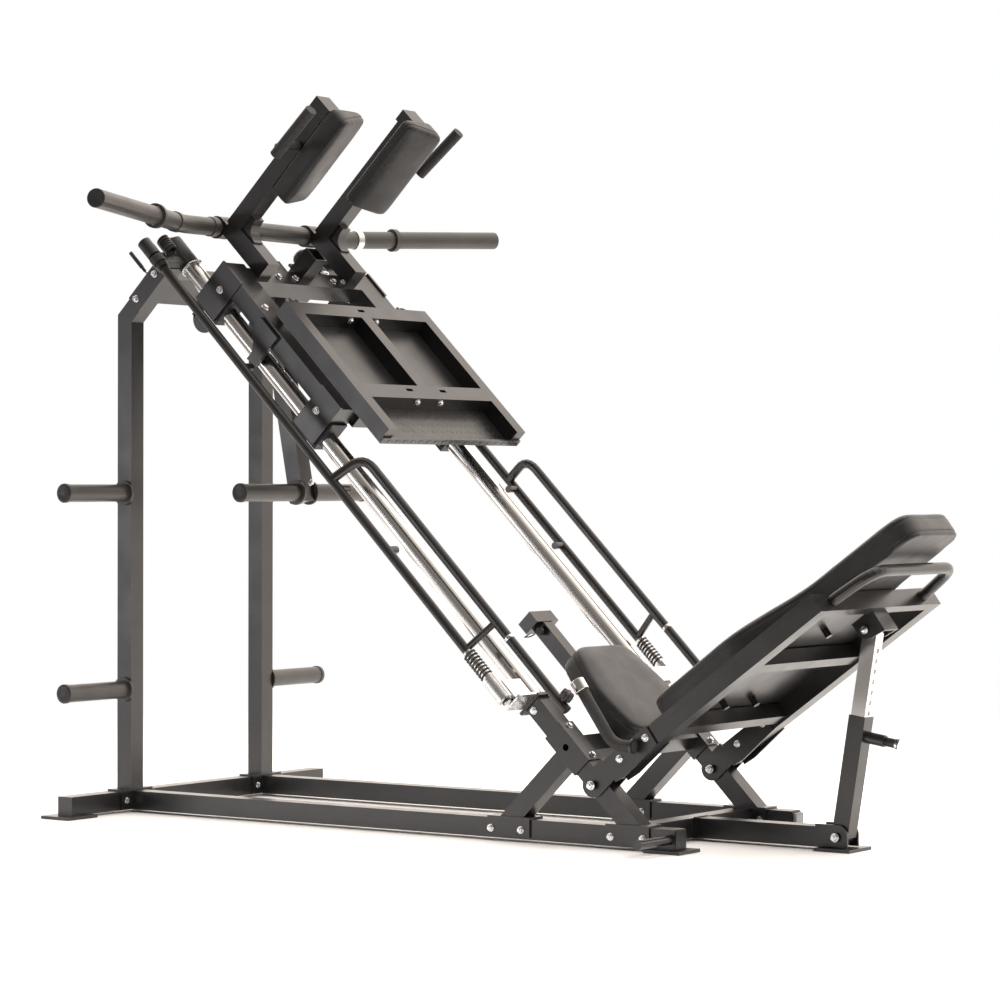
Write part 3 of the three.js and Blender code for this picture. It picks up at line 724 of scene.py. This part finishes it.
def twin(obj, name):
    """The same piece on the other side of the machine."""
    copy = bpy.data.objects.new(name, obj.data.copy())
    bpy.context.scene.collection.objects.link(copy)
    copy.data.transform(Matrix.Scale(-1, 4, (0, 1, 0)))
    copy.data.flip_normals()
    return copy


seat_outline = [(614, -118), (770, -172), (905, -142), (905, 142), (770, 172), (614, 118)]
seat, seat_thread = cushion(
    "seat_cushion", seat_outline, corner=46, floor_z=1238.3, top=lambda x, y: 1303, place=SLOPE
)
upholster(seat, seat_thread, "machine_frame", "seat_pad")

back_half = [(205, 226), (512, 238), (700, 140), (1010, 128)]
back_outline = [(x, -y) for x, y in back_half] + back_half[::-1]
back, back_thread = cushion(
    "back_cushion", back_outline, corner=50, floor_z=35.5, top=lambda x, y: 101, place=BENCH
)
upholster(back, back_thread, "bench", "back_pad")

# In a shoulder pad's own frame x runs up the arm, y away from the middle, and z out of its board.
PAD_BOARD = -885.5
PAD_FRAME = SLOPE @ Matrix(((0, 0, 1, 0), (0, 1, 0, 0), (1, 0, 0, 0), (0, 0, 0, 1)))
shoulder_outline = [(1510, 100), (1804, 100), (1804, 224), (1510, 224)]


def shoulder_top(x, y):
    """The pad grows thicker outwards, so its face turns a little towards the middle."""
    return PAD_BOARD + 33.5 + 32 * (y - 100) / 122


left, left_thread = cushion(
    "shoulder_cushion_left", shoulder_outline, corner=20, floor_z=PAD_BOARD, top=shoulder_top,
    place=PAD_FRAME, edge=10, cap=0.006,
)
right = twin(left, "shoulder_cushion_right")
right_thread = twin(left_thread, "shoulder_cushion_right_stitches")
upholster(left, left_thread, "sled", "shoulder_pad_left")
upholster(right, right_thread, "sled", "shoulder_pad_right")

# ---------------------------------------------------------------- bolts
# A bolt right through a member shows its head on the outer face, and its nut and end on the inner.
ACROSS = {side: Vector((0, side, 0)) for side in SIDES.values()}
DOWN_SLOPE = way(SLOPE, 1, 0, 0)
OFF_SLOPE = way(SLOPE, 0, 0, 1)

frame_bolts = Solid()
sled_bolts = Solid()
plate_bolts = Solid()
bench_bolts = Solid()
for side in SIDES.values():
    out, inward = ACROSS[side], ACROSS[-side]

    # The rail's end plate on the rear beam, then the shoes of the brace and the front leg.
    for y in (-48, 48):
        frame_bolts.bolt(at(GROUND, 30.3, side * RAIL_Y + y, 33), way(GROUND, 1, 0, 0), 7.5)
    for x in (1232, 1324, 1592, 1686):
        frame_bolts.bolt(at(GROUND, x, side * 315.3, 31), out, 8.5)
        frame_bolts.bolt(at(GROUND, x, side * 254.7, 31), inward, 8, stud=4)

    # The sleeve on the front leg, the leg's side and the bench's pivot.
    for s in (815, 912):
        frame_bolts.bolt(at(SLOPE, s, side * RAIL_Y, 1235), OFF_SLOPE, 8)
    frame_bolts.bolt(at(SLOPE, 726, side * RAIL_FACE, 1196), out, 8.5)
    frame_bolts.bolt(at(GROUND, PIVOT[0], side * 326, PIVOT[1]), out, 10)
    frame_bolts.bolt(at(GROUND, PIVOT[0], side * 245, PIVOT[1]), inward, 10, stud=5)

    # The plate that overlaps the upright's top, and the strut's foot.
    for n in (1027, 1120):
        frame_bolts.bolt(at(SLOPE, -963, side * 315, n), out, 8.5)
    frame_bolts.bolt(at(GROUND, STRUT_FOOT[0], side * 37, STRUT_FOOT[1]), out, 10)

    # The sled's two housings, its top face, the shoulder arm's side and the foot plate's hinge.
    for s in (-757, -294):
        sled_bolts.bolt(at(SLOPE, s, side * 325, 1253), out, 9)
        sled_bolts.bolt(at(SLOPE, s, side * 245, 1253), inward, 8, stud=3)
    sled_bolts.bolt(at(SLOPE, -628, side * 298, 1310), OFF_SLOPE, 9.5)
    sled_bolts.bolt(at(SLOPE, -945, side * 216, 1300), out, 6)
    plate_bolts.bolt(at(SLOPE, -596, side * 256, 1352), out, 8)

    # The bench tube's two gusset bolts, and the strut's upper end.
    for a in (197, 104):
        bench_bolts.bolt(at(BENCH, a, side * 316, 10), out, 8.5)
        bench_bolts.bolt(at(BENCH, a, side * 254, 10), inward, 8, stud=4)
    bench_bolts.bolt(at(BENCH, 723.9, side * 41, -44.9), out, 9)

# The sled's upper cross member, the foot plate's cross strips and the hanging arm.
for y in (-190, -121, -47, 123, 170):
    sled_bolts.bolt(at(SLOPE, -762, y, 1310), OFF_SLOPE, 8.5)
    sled_bolts.bolt(at(SLOPE, -762, y, 1260), -OFF_SLOPE, 8, stud=4)
for s, ys in ((-534, (-61, 54)), (-218, (-60, 45))):
    for y in ys:
        plate_bolts.bolt(at(SLOPE, s, y, 1366), DOWN_SLOPE, 8.5)
sled_bolts.bolt(at(GROUND, 405, 0, 905), way(GROUND, 1, 0, 0), 8)
frame_bolts.piece("frame_bolts", "machine_frame", ZINC, "zinc_plate")
sled_bolts.piece("sled_bolts", "sled", ZINC, "zinc_plate")
plate_bolts.piece("foot_plate_bolts", "foot_plate", ZINC, "zinc_plate")
bench_bolts.piece("bench_bolts", "bench", ZINC, "zinc_plate")

# ---------------------------------------------------------------- end caps of tubes and pegs
caps = Solid()
sled_caps = Solid()


def end_cap(solid, spot, direction, radius):
    """A plastic cap with a raised rim and a shallow dish inside it."""
    profile = [(-0.5, 0.3), (-0.5, radius - 0.4), (1.2, radius - 0.4), (2.6, radius - 2.4)]
    profile += [(3.0, radius - 5), (2.2, radius - 7), (2.4, 0.3)]
    solid.lathe(spot, direction, profile, 36)


HORN_BEND = Vector((-958, 359, 1306))
HORN_TIP = Vector((-863, 882, 1435))
for side in SIDES.values():
    for z in (875, 335):
        end_cap(caps, at(GROUND, 0, side * 555, z), ACROSS[side], 24)
    end_cap(sled_caps, at(GROUND, 378, side * 274, 877), ACROSS[side], 24)
    along = HORN_TIP - HORN_BEND
    tip = at(SLOPE, HORN_TIP.x, side * HORN_TIP.y, HORN_TIP.z)
    end_cap(sled_caps, tip, way(SLOPE, along.x, side * along.y, along.z), 25)
caps.piece("peg_end_caps", "machine_frame", CAP, "black_nylon")
sled_caps.piece("sled_end_caps", "sled", CAP, "black_nylon")


def on_load_bar(y, side):
    """A point of the load bar's centre line: straight as far as the horn's bend, then up the horn."""
    share = max(0, y - HORN_BEND.y) / (HORN_TIP.y - HORN_BEND.y)
    spot = HORN_BEND.lerp(HORN_TIP, share)
    return at(SLOPE, spot.x, side * y, spot.z)


# Two short sleeves stand on each side of the load bar, one before and one after the horn's bend.
sleeves = {side: Solid() for side in SIDES.values()}
for side in SIDES.values():
    for start, stop, radius in ((222, 246, 27.2), (392, 412, 27.6)):
        first = on_load_bar(start, side)
        last = on_load_bar(stop, side)
        length = (last - first).length / MM
        profile = [(0, 24), (0, radius - 0.8), (0.8, radius), (length - 0.8, radius)]
        profile += [(length, radius - 0.8), (length, 24)]
        sleeves[side].lathe(first, (last - first).normalized(), profile, 36)
sleeves[-1].piece("load_bar_sleeve_right", "sled", PALE_COAT, "powder_coat")
sleeves[1].piece("load_bar_sleeve_left", "sled", BRIGHT_ZINC, "zinc_plate")

# ---------------------------------------------------------------- foot plate tread
def tread(solid, low, high, spot, height, pitch=21.0):
    """Raised lens-shaped bars, turned alternately left and right, over a rectangle of u and v."""
    columns = int((high[0] - low[0]) / pitch)
    rows = int((high[1] - low[1]) / pitch)
    for i in range(columns):
        for j in range(rows):
            u = low[0] + (i + 0.5) * (high[0] - low[0]) / columns
            v = low[1] + (j + 0.5) * (high[1] - low[1]) / rows
            lean = math.radians(45 if (i + j) % 2 else -45)
            ring, crown = [], []
            for k in range(10):
                angle = 2 * math.pi * k / 10
                long, wide = 0.46 * pitch * math.cos(angle), 0.15 * pitch * math.sin(angle)
                wide *= abs(math.sin(angle)) ** 0.3
                for points, share, level in ((ring, 1.0, -0.3), (crown, 0.72, height)):
                    x = u + share * (long * math.cos(lean) - wide * math.sin(lean))
                    y = v + share * (long * math.sin(lean) + wide * math.cos(lean))
                    points.append(solid.mesh.verts.new(spot(x, y, level)))
            solid._skin([ring, crown], 10)


diamonds = Solid()
tread(diamonds, (-578, -312), (-92, 312), lambda u, v, h: at(SLOPE, u, v, 1333 - h), 1.1)
tread(diamonds, (-312, 1334), (312, 1351), lambda u, v, h: at(SLOPE, -90 + h, u, v), 0.9, 17)
tread(diamonds, (-216, -272), (-97, 272), lambda u, v, h: at(SLOPE, u, v, 1339 + h), 0.3)
diamonds.piece("tread_diamonds", "foot_plate", COAT, "powder_coat")


# ---------------------------------------------------------------- slide strips under the sled
def perforated(solid, count, pitch, half, hole, thick, spot):
    """A strip of square cells with a round hole in each. `spot` places along, across and depth."""
    corners = 16
    for i in range(count):
        sheets = []
        for depth in (0, thick):
            outer, inner = [], []
            for k in range(corners):
                angle = 2 * math.pi * (k + 0.5) / corners
                c, s = math.cos(angle), math.sin(angle)
                grow = 1 / max(abs(c), abs(s))
                u = (i + 0.5) * pitch
                outer.append(solid.mesh.verts.new(spot(u + c * grow * pitch / 2, s * grow * half, depth)))
                inner.append(solid.mesh.verts.new(spot(u + c * hole, s * hole * 1.3, depth)))
            sheets.append((outer, inner))
        (low_out, low_in), (high_out, high_in) = sheets
        for k in range(corners):
            j = (k + 1) % corners
            solid.mesh.faces.new((low_out[k], low_out[j], low_in[j], low_in[k]))
            solid.mesh.faces.new((high_out[k], high_in[k], high_in[j], high_out[j]))
            solid.mesh.faces.new((low_in[k], low_in[j], high_in[j], high_in[k]))
            solid.mesh.faces.new((low_out[k], high_out[k], high_out[j], low_out[j]))


strips = Solid()
for side in SIDES.values():
    perforated(
        strips, 11, 35, 13, 5, 3,
        lambda u, v, d, side=side: at(SLOPE, -715 + u, side * (247.5 + d), 1245.5 + v),
    )
strips.piece("slide_strips", "sled", BRIGHT_ZINC, "zinc_plate", smooth=25)

# ---------------------------------------------------------------- rod tops
COIL_TURNS = 6
COIL_STEPS = 16
COIL_LENGTH = 50
COIL_RADIUS = 15
CLIP_RADIUS = 28
tops = Solid()
coils = Solid()
clips = Solid()
for side in SIDES.values():
    end = at(SLOPE, -1000, side * RAIL_Y, ROD_N)
    tops.lathe(end, -DOWN_SLOPE, [(-0.5, 0.4), (-0.5, 21), (1.2, 21), (2.0, 19), (2.0, 0.4)], 32)
    helix = []
    for k in range(COIL_TURNS * COIL_STEPS + 1):
        angle = 2 * math.pi * k / COIL_STEPS
        s = -988 + COIL_LENGTH * k / (COIL_TURNS * COIL_STEPS)
        y = side * 347 + COIL_RADIUS * math.cos(angle)
        helix.append(at(SLOPE, s, y, 1222 + COIL_RADIUS * math.sin(angle)))
    coils.sweep(helix, 4.0, 8)
    ring = []
    for k in range(22):
        angle = math.radians(-40 + 280 * k / 21)
        y = side * (RAIL_Y + CLIP_RADIUS * math.sin(angle))
        ring.append(at(SLOPE, -897, y, ROD_N + CLIP_RADIUS * math.cos(angle)))
    clips.sweep(ring, 2.2, 8)
    clips.bolt(at(SLOPE, -897, side * 272, 1231), OFF_SLOPE, 5, washer=False)
tops.piece("rod_end_discs", "machine_frame", ZINC, "zinc_plate")
coils.piece("rod_top_coils", "machine_frame", SPRING, "black_steel")
clips.piece("rod_top_clips", "machine_frame", ZINC, "zinc_plate")

# A safety pin hangs by a bent wire behind each rod top.
pins = Solid()
for side in SIDES.values():
    y = side * RAIL_Y
    pins.lathe(
        at(SLOPE, -1088, y, 1086), DOWN_SLOPE,
        [(0, 0.4), (0, 4.0), (1.5, 5.6), (60, 5.6), (62, 4.4), (74, 4.4), (76, 3.2), (76, 0.4)], 20,
    )
    bend = [(-1020, 1085), (-1006, 1086), (-999, 1092), (-995, 1104)]
    bend += [(-993, 1130), (-991, 1160), (-985, 1168.5)]
    pins.sweep([at(SLOPE, s, y, n) for s, n in bend], 2.0, 8)
pins.piece("safety_pins", "machine_frame", SPRING, "black_steel")

# A curved catch hangs behind each upper housing.
catches = Solid()
for side in SIDES.values():
    outer, inner = [], []
    for k in range(15):
        angle = math.radians(150 + 200 * k / 14)
        outer.append((-766 + 40 * math.cos(angle), 1142 + 40 * math.sin(angle)))
        inner.append((-762 + 25 * math.cos(angle), 1148 + 23 * math.sin(angle)))
    span = sorted((side * 281, side * 289))
    catches.prism(SLOPE, outer + inner[::-1], *span)
    catches.block(SLOPE, (-806, -792), span, (1120, 1172))
catches.piece("sled_catches", "sled", COAT, "powder_coat", bevel=0.8)

# ---------------------------------------------------------------- lock bar details
for name, side in SIDES.items():
    ring = Solid()
    ring.lathe(
        at(SLOPE, 570, side * 374, 1304), DOWN_SLOPE,
        [(0, 12), (0, 13.0), (0.6, 13.4), (8.4, 13.4), (9, 13.0), (9, 12)], 28,
    )
    ring.piece(f"lock_joint_{name}", f"lock_bar_{name}", CHROME, "polished_chrome")
    core = Solid()
    core.lathe(
        at(SLOPE, 525, side * LOCK_Y, LOCK_N), DOWN_SLOPE,
        [(0, 12), (0, 13.0), (0.6, 13.5), (90, 13.5), (91, 13.0), (91, 12)], 32,
    )
    core.piece(f"lock_shaft_{name}", f"lock_bar_{name}", CHROME, "polished_chrome")
    knob = Solid()
    star = []
    for k in range(48):
        angle = 2 * math.pi * k / 48
        radius = 15.5 + 2.6 * math.cos(6 * angle)
        star.append((radius * math.cos(angle), radius * math.sin(angle)))
    middle = Matrix.Translation(at(SLOPE, 793, side * 374, 1318)) @ SLOPE.to_3x3().to_4x4()
    layers = [(0, 0.55), (1, 0.82), (4, 1.0), (18, 1.0), (22, 0.86), (24, 0.5)]
    rings = []
    for height, share in layers:
        rings.append([knob.mesh.verts.new(at(middle, x * share, y * share, height)) for x, y in star])
    knob._skin(rings, 48)
    knob.piece(f"star_knob_{name}", f"lock_bar_{name}", NYLON, "black_nylon", smooth=50)
    mark = Solid()
    mark.lathe(at(middle, 0, 0, 23.6), way(SLOPE, 0, 0, 1), [(0, 0.2), (0, 2.8), (0.7, 2.4), (0.7, 0.2)], 16)
    mark.piece(f"knob_mark_{name}", f"lock_bar_{name}", ORANGE, "")
    stop = Solid()
    stop.lathe(
        at(SLOPE, 690, side * LOCK_Y, LOCK_N), DOWN_SLOPE,
        [(0.4, 0.4), (0.4, 15), (2.2, 15), (2.2, 10.5), (9, 9.6), (9.6, 4), (9.6, 0.4)], 28,
    )
    stop.piece(f"lock_bar_end_{name}", f"lock_bar_{name}", ZINC, "zinc_plate")

# ---------------------------------------------------------------- seat post knob and clip
seat_knob = Solid()
seat_knob.lathe(
    at(SLOPE, 476, -20, 1208), ACROSS[-1],
    [(0, 0.4), (0, 6), (7, 6), (8, 10), (10, 11.5), (17, 11.5), (19, 9.5), (19, 0.4)], 28,
)
seat_knob.piece("seat_post_knob", "machine_frame", NYLON, "black_nylon")
clip = Solid()
half_loop = [(452, 14, 1180), (448, 14, 1160), (444, 10, 1150)]
loop = [(x, -y, z) for x, y, z in half_loop] + half_loop[::-1]
clip.sweep([at(SLOPE, *p) for p in loop], 1.8, 8)
clip.piece("seat_wire_clip", "machine_frame", SPRING, "black_steel")

# ---------------------------------------------------------------- seat handle collars and flanges
collars = Solid()
flanges = Solid()
for side in SIDES.values():
    start = at(SLOPE, 770, side * HANDLE_Y, 1355.3)
    along = (at(SLOPE, 800, side * HANDLE_Y, 1350) - start).normalized()
    profile = [(-1.6, 0.4), (-1.6, 14), (-0.4, 17.6), (0.8, 18.7), (29, 18.7), (30.6, 17.4), (30.6, 15.2)]
    collars.lathe(start, along, profile, 32)
    foot = at(SLOPE, 996, side * HANDLE_Y, 1362)
    flanges.lathe(foot, way(SLOPE, 44, 0, 43), [(-3, 14), (-3, 18), (-2, 19), (3, 19), (4, 18), (4, 14)], 28)
collars.piece("seat_handle_collars", "bench", CHROME, "polished_chrome")
flanges.piece("seat_handle_flanges", "bench", COAT, "powder_coat")

# ---------------------------------------------------------------- bench seam lines
seams = Solid()
for side in SIDES.values():
    face = sorted((side * 309.9, side * 310.25))
    for start, stop in ((283, 430), (436, 600), (606, 743)):
        seams.block(BENCH, (start, stop), face, (14, 15.6))
seams.piece("bench_seams", "bench", SPRING, "black_steel")

# ---------------------------------------------------------------- pop pin pull
PULL_WAY = way(STRUT, 1, 0, 0)
pull = Solid()
pull.lathe(
    at(STRUT, STRUT_FACE + 82, 0, PIN_Z), PULL_WAY,
    [(0, 10.2), (1, 10.8), (5, 12), (9, 14.6), (12, 17.6), (13.6, 18), (14.8, 16.6), (14.8, 0.4)], 32,
)
pull.piece("pop_pin_pull", "pop_pin", BRIGHT_ZINC, "polished_chrome")
sleeve = Solid()
sleeve.lathe(
    at(STRUT, STRUT_FACE + 54, 0, PIN_Z), PULL_WAY,
    [(0, 8), (0, 10.8), (1, 11.4), (26, 11.4), (27, 10.8), (27, 8)], 28,
)
sleeve.piece("pop_pin_sleeve", "pop_pin", NYLON, "black_nylon")

# ---------------------------------------------------------------- the far rail's plastic end cap
plug = Solid()
plug.block(GROUND, (1779.2, 1790), (265, 305), (13, 53))
plug.piece("rail_end_cap", "machine_frame", GREY_CAP, "black_nylon", bevel=2.5)
